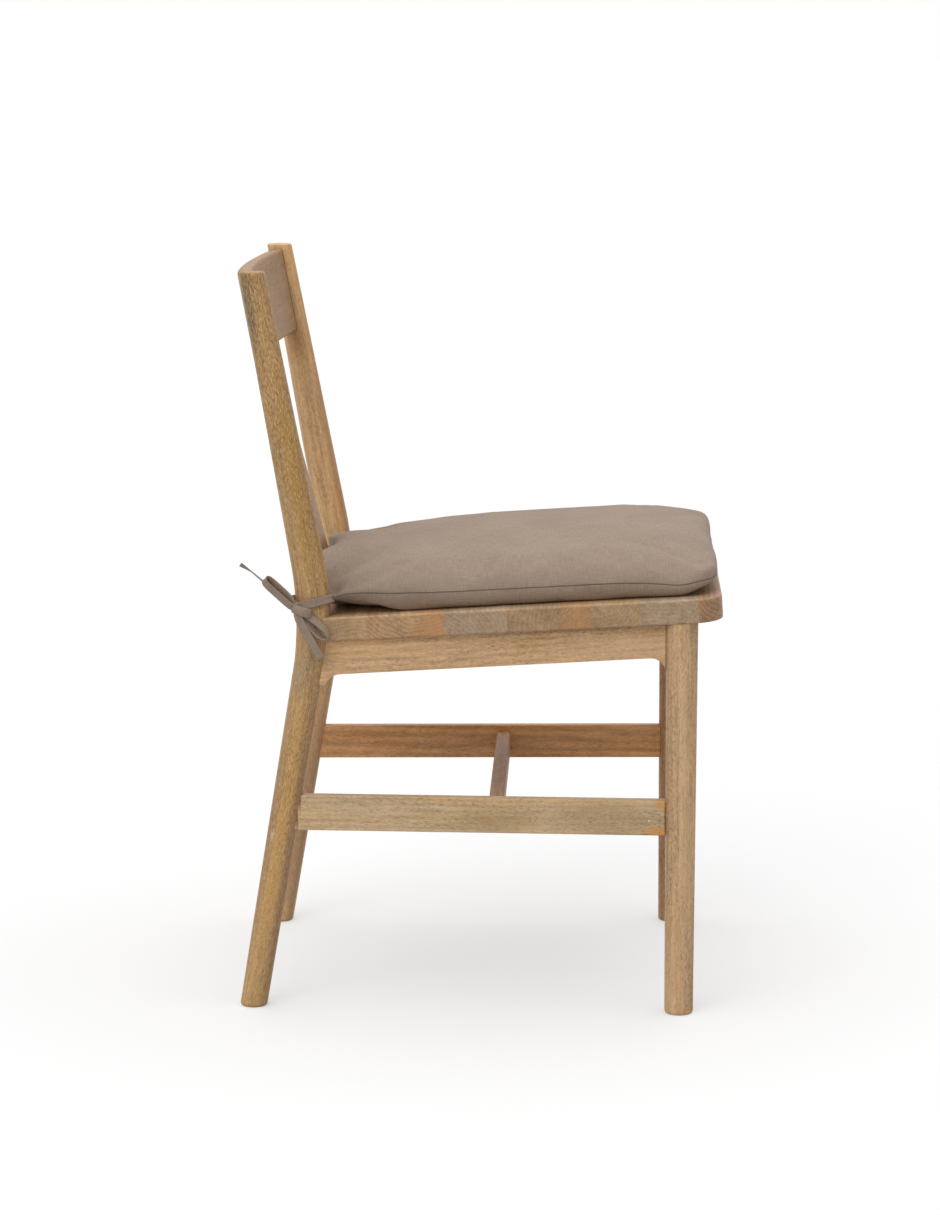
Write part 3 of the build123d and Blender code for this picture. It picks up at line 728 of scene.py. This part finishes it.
def seam_side(index):
    """Closely spaced points from the middle of one corner's round to the middle of the next."""
    here, here_round = outline_corners[index]
    there, there_round = outline_corners[(index + 1) % 4]
    before = outline_corners[index - 1][0]
    after = outline_corners[(index + 2) % 4][0]
    run = (there - here).normalized()
    back = (before - here).normalized()
    on = (after - there).normalized()
    inward = Vector((-run.y, run.x)) * (0.0, draw_in, -rear_bulge, draw_in)[index]
    points = []
    centre = here + (run + back) * here_round
    for step in range(corner_steps + 1):
        turn = radians(45 + 45 * step / corner_steps)
        points.append(centre - back * here_round * sin(turn) - run * here_round * cos(turn))
    straight_from = here + run * here_round
    straight_to = there - run * there_round
    for step in range(1, side_steps):
        share = step / side_steps
        swell = 1 - abs(2 * share - 1) ** (8 if index == 2 else 2)
        points.append(straight_from.lerp(straight_to, share) + inward * swell)
    centre = there + (on - run) * there_round
    for step in range(corner_steps + 1):
        turn = radians(45 * step / corner_steps)
        points.append(centre - on * there_round * cos(turn) + run * there_round * sin(turn))
    return points


def lengths(points):
    """How far along a line each of its points lies."""
    walked = [0.0]
    for first, second in zip(points, points[1:]):
        walked.append(walked[-1] + (second - first).length)
    return walked


def even(points, count):
    """The same line again with evenly spaced points."""
    walked = lengths(points)
    found = []
    spot = 0
    for step in range(count + 1):
        wanted = walked[-1] * step / count
        while spot < len(points) - 2 and walked[spot + 1] < wanted:
            spot += 1
        share = (wanted - walked[spot]) / max(walked[spot + 1] - walked[spot], 1e-9)
        found.append(points[spot].lerp(points[spot + 1], min(share, 1.0)))
    return found


squares = 84
front_line = even(seam_side(0), squares)
left_line = even(seam_side(1), squares)
rear_line = even(seam_side(2), squares)[::-1]
right_line = even(seam_side(3), squares)[::-1]
print("seam sides", [len(line) for line in (front_line, left_line, rear_line, right_line)])

# %% [markdown]
# ## From pattern to cushion
#
# Each point of the pattern is lifted by how far it lies from the seam: steeply near the seam,
# as the cloth stands up over the filling, and gently over the middle. Front and rear stand up
# more steeply than the sides and lean out over the seam, and the near rear quarter is the
# plumpest. The lower panel drops the same way until it lies flat on the seat.

# %% Cushion heights
seam_height = 0.019
rest_height = 0.0006
rim_height, dome_height, plump_height = 0.0240, 0.0120, 0.0070


def ramp(value, low, high):
    """0 at low and 1 at high, straight between, level beyond; high may be below low."""
    return min(1.0, max(0.0, (value - low) / (high - low)))


def shoulder(distance, width):
    """From 0 at the seam to 1 where the panel levels out, as a quarter of an oval."""
    short = 1 - ramp(distance, 0.0, width)
    return math.sqrt(1 - short * short)


def rear_seam(across):
    """How far back the seam lies: it swells out between the posts."""
    return rear_edge + rear_bulge * max(0.0, 1 - (across / rear_half) ** 8)


def crown(spot, inset):
    """Height of the upper panel over the seam: a level rim with a dome, both lower in front."""
    half = front_half + (rear_half - front_half) * spot.y / rear_edge
    sides = shoulder(half - abs(spot.x), 0.040)
    ends = shoulder(spot.y - front_edge, 0.032) * shoulder(rear_seam(spot.x) - spot.y, 0.015)
    level = min(sides * ends, shoulder(inset, 0.017))
    backward = ramp(spot.y, 0.25, 0.42)
    rim = rim_height - 0.0040 * ramp(spot.y, 0.06, 0.03) - 0.0090 * backward
    dome = dome_height + 0.0020 * backward - 0.0050 * ramp(spot.y, 0.10, 0.03)
    plump = plump_height * ramp(spot.y, 0.32, 0.40) * sin(pi * ramp(-spot.x, 0.01, 0.185))
    return level * (rim + plump + dome * max(0.0, 1 - (spot.x / 0.19) ** 2))


def overhang(spot):
    """How far front and rear lean out over the seam; the splat and the posts leave less room."""
    front_lean = sin(pi * ramp(spot.y - front_edge, 0.0, 0.045) ** 0.5)
    rear_lean = sin(pi * ramp(rear_seam(spot.x) - spot.y, 0.0, 0.050) ** 0.7)
    front_room = 0.0060 * max(0.0, 1 - (spot.x / 0.200) ** 6)
    rear_room = 0.0120 + 0.0110 * ramp(abs(spot.x), 0.050, 0.075)
    rear_room *= ramp(0.178 - abs(spot.x), 0.0, 0.024)
    return rear_room * rear_lean - front_room * front_lean


def belly(inset):
    """Drop of the lower panel under the seam, until it meets the seat."""
    return (seam_height - rest_height) * shoulder(inset, 0.014)


print("crown in the middle", round(1000 * crown(Vector((0.0, 0.2)), 0.2)), "mm over the seam")

# %% [markdown]
# ## Filling in the grid
#
# The inside of the grid comes from its four edges: straight lines are ruled both ways between
# opposite edges and added up, and what the corners alone would give is taken away, because it
# was counted twice. A search tree of the seam's points later tells how far in a point lies.

# %% Flat grid
grid = range(squares + 1)
flat = [[None] * len(grid) for _ in grid]
for j in grid:
    t = j / squares
    for i in grid:
        s = i / squares
        ruled = front_line[i] * (1 - t) + rear_line[i] * t
        ruled = ruled + right_line[j] * (1 - s) + left_line[j] * s
        bilinear = (front_line[0] * (1 - s) + front_line[-1] * s) * (1 - t)
        bilinear = bilinear + (rear_line[0] * (1 - s) + rear_line[-1] * s) * t
        flat[j][i] = ruled - bilinear


def search_tree(points):
    found = KDTree(len(points))
    for index, point in enumerate(points):
        found.insert(point, index)
    found.balance()
    return found


seam_points = front_line + rear_line + right_line + left_line
near_seam = search_tree([(point.x, point.y, 0) for point in seam_points])
print(len(grid) ** 2, "points in the grid")

# %% [markdown]
# ## Corners
#
# The ties draw the two rear corners out into ears. The panels come closer together there, the
# seam rises off the seat along the sides before it reaches the ear, and a fold runs in from
# each ear and widens as it goes. At the front corners the seam dips a little.

# %% Ears and folds
lift_height, lift_reach = 0.0060, 0.03
dip_depth, dip_reach = 0.0065, 0.075
fold_depth, fold_turn = 0.022, radians(24)


def near(distance, reach):
    """1 at a place, falling evenly to 0 at a reach from it."""
    return max(0.0, 1 - distance / reach)


def corner_effects(spot):
    """For a point: how far the ear is, how much the seam rises, and how deep the fold is."""
    side = 1 if spot.x > 0 else -1
    ear = Vector((side * rear_half, rear_edge))
    away = (spot - ear).length
    dip = near((spot - Vector((side * 0.196, 0.045))).length, dip_reach) ** 2
    lift = lift_height * away / lift_reach * math.exp(1 - away / lift_reach)
    lift *= ramp(rear_edge - spot.y, -0.010, 0.010)
    inward = Vector((-side * cos(fold_turn), -sin(fold_turn)))
    run = (spot - ear).dot(inward)
    beside = abs((spot - ear).cross(inward))
    width = 0.005 + 0.04 * max(0.0, run)
    fold = fold_depth * math.exp(-((beside / width) ** 2))
    fold = fold * ramp(run, 0.095, 0.012) * ramp(run, 0.0, 0.008)
    return away, lift - dip_depth * dip, fold


print("folds run in at", round(math.degrees(fold_turn)), "degrees")

# %% [markdown]
# ## Two panels from one grid
#
# Every point of the grid becomes a vertex of the upper panel and one of the lower panel, and
# a point of the seam serves both. The lower panel lies on the seat, but lifts off it at the
# ears and along the front edge. The upper one always stays a little above the lower.

# %% Cushion mesh
ear_reach = 0.13


def on_seam(i, j):
    return i in (0, squares) or j in (0, squares)


vertices, faces, creased, top_index, bottom_index = [], [], [], {}, {}
for j in grid:
    for i in grid:
        spot = flat[j][i]
        inset = near_seam.find((spot.x, spot.y, 0))[2]
        away, rise, fold = corner_effects(spot)
        seam_level = seam_height + rise
        thin = 1 - 0.55 * near(away, ear_reach) ** 1.5
        place = spot + Vector((0, 0.006)) * near(away, 0.060) ** 2
        if on_seam(i, j):
            top_index[i, j] = bottom_index[i, j] = len(vertices)
            vertices.append(on_seat(place.x, place.y, seam_level))
            continue
        top_index[i, j] = len(vertices)
        if fold > 0.003:
            creased.append(len(vertices))
        lying = max(rest_height, seam_level - belly(inset) * (1 + rise / seam_height))
        lying = max(lying, seam_level - 0.002 - 0.24 * away - 0.1 * inset)
        lying = max(lying, seam_level - 0.002 - 0.26 * (spot.y - front_edge))
        height = max(seam_level + crown(spot, inset) * thin - fold, lying + 0.003)
        vertices.append(on_seat(place.x, place.y + overhang(spot), height))
        bottom_index[i, j] = len(vertices)
        vertices.append(on_seat(place.x, place.y, lying))
for j in range(squares):
    for i in range(squares):
        around = ((i, j), (i + 1, j), (i + 1, j + 1), (i, j + 1))
        faces.append([top_index[corner] for corner in around])
        faces.append([bottom_index[corner] for corner in reversed(around)])
sewn = [top_index[i, j] for i, j in top_index if on_seam(i, j)]
cushion_mesh = bpy.data.meshes.new("cushion")
cushion_mesh.from_pydata(vertices, [], faces)
cushion = bpy.data.objects.new("cushion", cushion_mesh)
scene.collection.objects.link(cushion)
print("cushion", len(vertices), "vertices,", len(sewn), "on the seam")

# %% [markdown]
# ## Blowing it up
#
# The start shape is a little lean. A cloth simulation with air pressure inside fills it, as
# the filling does: the panels round out, and the cloth between the corners takes its own
# curve. The seam, the folds and the patch that lies on the seat are pinned, and no point may
# move further than a set distance.

# %% Cloth simulation
longest_move = 0.004
last_frame = 20
cloth_settings = {
    "quality": 6,
    "mass": 0.25,
    "air_damping": 4.0,
    "tension_stiffness": 22,
    "compression_stiffness": 22,
    "shear_stiffness": 8,
    "bending_stiffness": 0.6,
    "use_pressure": True,
    "uniform_pressure_force": 2.5,
    "vertex_group_mass": "held",
    "shrink_min": -0.006,
}


def above_seat(point):
    return (point - seat_front).dot(seat_up)


held = cushion.vertex_groups.new(name="held")
resting = [k for k, point in enumerate(vertices) if above_seat(point) < rest_height + 0.0004]
held.add(resting + sewn + creased, 1.0, "REPLACE")
cloth = cushion.modifiers.new("cloth", "CLOTH")
for setting, value in cloth_settings.items():
    setattr(cloth.settings, setting, value)
cloth.settings.effector_weights.gravity = 0.0
cloth.point_cache.frame_start = 1
cloth.point_cache.frame_end = last_frame
for number in range(1, last_frame + 1):
    scene.frame_set(number)
swollen = cushion.evaluated_get(bpy.context.evaluated_depsgraph_get()).to_mesh()
moved = [vertex.co.copy() for vertex in swollen.vertices]
scene.frame_set(1)
cushion.modifiers.remove(cloth)
furthest = 0.0
for vertex, goal in zip(cushion_mesh.vertices, moved):
    step = goal - vertex.co
    furthest = max(furthest, step.length)
    if step.length > longest_move:
        step = step.normalized() * longest_move
    vertex.co = vertex.co + step
print("furthest move before the cap", round(furthest * 1000, 1), "mm")

# %% [markdown]
# ## Clear of the seat and the splat
#
# Wood does not give. So no vertex may sink into the seat, and none behind the splat's front
# face, which leans back as it rises.

# %% Seat and splat
splat_front, splat_lean, splat_half = 0.4245, 0.185, 0.056
stopped = 0
for vertex in cushion_mesh.vertices:
    height = above_seat(vertex.co)
    vertex.co = vertex.co + seat_up * max(0.0, rest_height - height)
    past_splat = (vertex.co - seat_front).dot(slope_dir) - (splat_front + splat_lean * height)
    if abs(vertex.co.x) < splat_half and past_splat > 0:
        vertex.co = vertex.co - slope_dir * past_splat
        stopped += 1
print(stopped, "vertices stopped by the splat")

# %% [markdown]
# ## A map for the weave
#
# The cloth's UV map is measured on the finished shape: across and along each panel from its
# middle, in metres, so the weave keeps its size on the steep sides. The middle row and column
# also tell how much cloth a panel takes.

# %% Weave map
middle = squares // 2


def walk(index, line):
    """Distances along a row of vertices, measured from the middle of the row."""
    walked = lengths([cushion_mesh.vertices[index[spot]].co for spot in line])
    return [value - walked[middle] for value in walked]


weave_map = cushion_mesh.uv_layers.new(name="cloth")
panels = []
for index, shift in ((top_index, 0.0), (bottom_index, 1.0)):
    rows = [walk(index, [(i, j) for i in grid]) for j in grid]
    columns = [walk(index, [(i, j) for j in grid]) for i in grid]
    panels.append({index[i, j]: (rows[j][i] + shift, columns[i][j]) for j in grid for i in grid})
    across, along = rows[middle][-1] - rows[middle][0], columns[middle][-1] - columns[middle][0]
    print("panel", round(1000 * across), "by", round(1000 * along), "mm of cloth")
for polygon in cushion_mesh.polygons:
    panel = panels[polygon.index % 2]
    for loop in polygon.loop_indices:
        weave_map.data[loop].uv = panel[cushion_mesh.loops[loop].vertex_index]

# %% [markdown]
# ## Finishing the cushion
#
# Every vertex keeps its distance from the seam, which the linen uses for the stitched line,
# and how near it lies to an ear, which the linen turns into painted shade towards the ears.
# One subdivision smooths the facets. The cushion takes the place of its three solids.

# %% Seam and ears
seam_loop = [cushion_mesh.vertices[k].co for k in sewn]
seam_tree = search_tree(seam_loop)
distance = cushion_mesh.attributes.new("seam_distance", "FLOAT", "POINT")
# Painted shade towards the ears: strongest at each ear, gone at ear_reach from it.
painted_ear_shade = cushion_mesh.attributes.new("painted_ear_shade", "FLOAT", "POINT")
ears = [on_seat(side * rear_half, rear_edge, seam_height) for side in (-1, 1)]
for vertex in cushion_mesh.vertices:
    distance.data[vertex.index].value = seam_tree.find(vertex.co)[2]
    from_ear = min((vertex.co - ear).length for ear in ears)
    painted_ear_shade.data[vertex.index].value = near(from_ear, ear_reach) ** 2
cushion_mesh.materials.append(cushion_linen)
cushion_mesh.shade_smooth()
smooth = cushion.modifiers.new("smooth", "SUBSURF")
smooth.levels = smooth.render_levels = 1
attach(cushion, "root")
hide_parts("cushion_top_panel", "cushion_bottom_panel", "cushion_filling")
print("seam points", len(seam_loop))

# %% [markdown]
# ## The ties
#
# At each rear corner two tapes are sewn into the seam. One goes over the outer side of the
# post and the other round behind it. They meet in a knot, make one loop of a bow each, and
# hang out as tails. Each tape is a single strip that follows one smooth curve from the corner
# to its end; a second curve beside it says which way the tape's width points.

# %% Tape routes
tape_width = 0.0086
tape_thickness = 0.0012
knot_at = Vector((0.2055, 0.1872, 0.4408))
up_loop = (0.0340, 0.0312)
low_loop = (-0.0295, -0.0290)
low_tail = (-0.0268, -0.0482)
high_tail = (0.0624, 0.0494)
out_x = Vector((1, 0, 0))
stand_up = Vector((0, 0.25, 1))


def bow_axes(axis):
    """Directions along and beside an axis of the bow, which is given by its Y and Z."""
    along = Vector((0, axis[0], axis[1])).normalized()
    return along, Vector((0, -along.z, along.y))


def on_edge(x, y, z):
    """A route point where the tape stands on edge, as it does round the post."""
    return Vector((x, y, z)), stand_up


def leaning_width(axis, tilt):
    """Width direction of a tape on the bow: tilt 0 faces outwards, 1 shows its edge."""
    beside = bow_axes(axis)[1]
    return (beside * (1 - abs(tilt)) + out_x * tilt).normalized()


def bow(axis, reach, aside, out, tilt, width_axis=None):
    """A route point: along an axis from the knot, aside from it, and out from the chair."""
    along, beside = bow_axes(axis)
    point = knot_at + along * reach + beside * aside + Vector((out, 0, 0))
    return point, leaning_width(width_axis or axis, tilt)


outer_tape = [
    on_edge(0.1890, 0.1520, 0.4520),
    on_edge(0.1945, 0.1570, 0.4514),
    on_edge(0.2020, 0.1660, 0.4500),
    on_edge(0.2058, 0.1760, 0.4478),
    on_edge(0.2070, 0.1850, 0.4462),
    bow(up_loop, 0.007, -0.0022, 0.004, 0.35),
    bow(up_loop, 0.018, -0.0025, 0.004, 0.32),
    bow(up_loop, 0.034, -0.0026, 0.004, 0.32),
    bow(up_loop, 0.046, -0.0026, 0.004, 0.35),
    bow(up_loop, 0.0500, -0.0006, 0.002, 0.4),
    bow(up_loop, 0.0495, 0.0014, -0.001, 0.4),
    bow(up_loop, 0.045, 0.0026, -0.002, 0.35),
    bow(up_loop, 0.032, 0.0026, -0.002, 0.32),
    bow(up_loop, 0.016, 0.0026, 0, 0.32),
    bow(up_loop, 0.004, 0.0016, 0.003, 0.2, low_tail),
    (Vector((0.2110, 0.1893, 0.4352)), leaning_width(low_tail, 0.1)),
    (Vector((0.2100, 0.1832, 0.4229)), leaning_width(low_tail, 0.0)),
    (Vector((0.2080, 0.1738, 0.4057)), leaning_width(low_tail, 0.0)),
    (Vector((0.2060, 0.1641, 0.3870)), leaning_width(low_tail, 0.1)),
]
inner_tape = [
    on_edge(0.1865, 0.1530, 0.4498),
    on_edge(0.1790, 0.1540, 0.4490),
    on_edge(0.1690, 0.1590, 0.4478),
    on_edge(0.1655, 0.1745, 0.4472),
    on_edge(0.1690, 0.1910, 0.4478),
    on_edge(0.1810, 0.1985, 0.4484),
    on_edge(0.1960, 0.1960, 0.4478),
    on_edge(0.2040, 0.1890, 0.4446),
    bow(low_loop, 0.002, 0, 0, 0.3),
    bow(low_loop, 0.014, 0.0032, 0, 0.5),
    bow(low_loop, 0.028, 0.0062, 0.001, 0.65),
    bow(low_loop, 0.039, 0.0052, 0.001, 0.75),
    bow(low_loop, 0.0440, -0.0002, 0.001, 0.8),
    bow(low_loop, 0.037, -0.0050, 0.001, 0.65),
    bow(low_loop, 0.023, -0.0044, 0.001, 0.45),
    bow(low_loop, 0.009, -0.0020, 0, 0.35),
    bow(high_tail, 0.006, 0, -0.001, 0.6),
    bow(high_tail, 0.024, 0.0004, -0.004, 0.80),
    bow(high_tail, 0.044, 0, -0.003, 0.92),
    bow(high_tail, 0.063, 0.0010, -0.001, 0.90),
    bow(high_tail, 0.072, 0.0008, -0.001, 0.70),
    bow(high_tail, 0.080, 0, -0.001, 0.55),
]
shorter_inner_tape = inner_tape[:-3] + [bow(high_tail, 0.056, 0.0010, -0.001, 0.75)]
print("route points", len(outer_tape), len(inner_tape), len(shorter_inner_tape))

# %% [markdown]
# ## Making tape
#
# Blender turns control points into a smooth NURBS curve. Its sampled points carry a flat
# cross-section: a few points across the width, one row for each face, with the edges bent in
# slightly, as a folded and stitched tape has them. The mirror image makes the other side.


# %% Tape maker
def smooth_line(points):
    curve = bpy.data.curves.new("route", "CURVE")
    curve.dimensions = "3D"
    curve.resolution_u = 10
    spline = curve.splines.new("NURBS")
    spline.points.add(len(points) - 1)
    for spot, point in zip(spline.points, points):
        spot.co = (*point, 1.0)
    spline.order_u = 3
    spline.use_endpoint_u = True
    holder = bpy.data.objects.new("route", curve)
    mesh = bpy.data.meshes.new_from_object(holder)
    line = [vertex.co.copy() for vertex in mesh.vertices]
    bpy.data.objects.remove(holder)
    bpy.data.meshes.remove(mesh)
    bpy.data.curves.remove(curve)
    return line


across_shares = (-0.5, -0.42, -0.2, 0.0, 0.2, 0.42, 0.5)
edge_thinning = 0.55
edge_curl = 0.0022
back_face_shift = 0.05


def tape_mesh(name, line, beside, width, thickness, closed=False):
    """A flat strip along a line; each point of the second line lies to one side of it."""
    count = len(line)
    walked = lengths(line)
    points, faces, cloth = [], [], []
    for k in range(count):
        ahead = line[(k + 1) % count] if closed else line[min(k + 1, count - 1)]
        behind = line[k - 1] if closed else line[max(k - 1, 0)]
        tangent = (ahead - behind).normalized()
        side = beside[k] - line[k]
        side = (side - tangent * side.dot(tangent)).normalized()
        up = tangent.cross(side)
        for face in (1, -1):
            for share in across_shares[::face]:
                thin = edge_thinning if abs(share) == 0.5 else 1.0
                curl = -abs(share) ** 2 * edge_curl
                raised = face * thickness / 2 * thin + curl
                points.append(line[k] + side * share * width + up * raised)
                cloth.append((walked[k], share * width + (back_face_shift if face < 0 else 0.0)))
    ring = 2 * len(across_shares)
    for k in range(count if closed else count - 1):
        here, there = k * ring, (k + 1) % count * ring
        for n in range(ring):
            after = (n + 1) % ring
            faces.append((here + n, here + after, there + after, there + n))
    if not closed:
        faces.append(tuple(reversed(range(ring))))
        faces.append(tuple(range((count - 1) * ring, count * ring)))
    mesh = bpy.data.meshes.new(name)
    mesh.from_pydata(points, [], faces)
    layer = mesh.uv_layers.new(name="cloth")
    for loop in mesh.loops:
        layer.data[loop.index].uv = cloth[loop.vertex_index]
    mesh.materials.append(tie_linen)
    mesh.shade_smooth()
    piece = bpy.data.objects.new(name, mesh)
    scene.collection.objects.link(piece)
    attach(piece, "root")
    return piece


def mirrored(point, side):
    return Vector((point.x * side, point.y, point.z))


print("tape maker ready")

# %% [markdown]
# ## Tying the bows
#
# The same two routes serve both posts; only the left bow's upper tail is shorter. The knot is
# a third, short strip of tape that wraps once round the crossing, as the first half of a bow
# does, and hides where the tapes pass through each other.

# %% Bows on both posts
knot_width, knot_thickness = 0.0100, 0.0016
knot_steps = 24
for side, word in ((-1, "right"), (1, "left")):
    for name, route, replaced in (
        ("tie_outer", outer_tape, ("tie_band_", "tie_tails_")),
        ("tie_inner", inner_tape if word == "right" else shorter_inner_tape, ("tie_loops_",)),
    ):
        line = smooth_line([mirrored(point, side) for point, _ in route])
        beside = smooth_line([mirrored(point + width * 0.01, side) for point, width in route])
        piece = tape_mesh(f"{name}_{word}", line, beside, tape_width, tape_thickness)
        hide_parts(*[node_name + word for node_name in replaced])
    ring, ring_side = [], []
    for step in range(knot_steps):
        turn = 2 * pi * step / knot_steps
        wrap = (0.0008 + 0.0068 * sin(turn), 0.0100 * cos(turn) - 0.002, 0.0032 * cos(turn))
        spot = knot_at + Vector(wrap)
        ring.append(mirrored(spot, side))
        ring_side.append(mirrored(spot + Vector((0, -0.0012, 0.01)), side))
    name = f"tie_knot_wrap_{word}"
    knot = tape_mesh(name, ring, ring_side, knot_width, knot_thickness, closed=True)
    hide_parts("tie_knot_" + word)

# %% [markdown]
# ## The size
#
# The box round the dressed chair is measured. The dressed chair has to be as large as
# its solids: cloth may stand a little proud, and nothing else may.

# %% Sizes and finish
low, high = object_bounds()
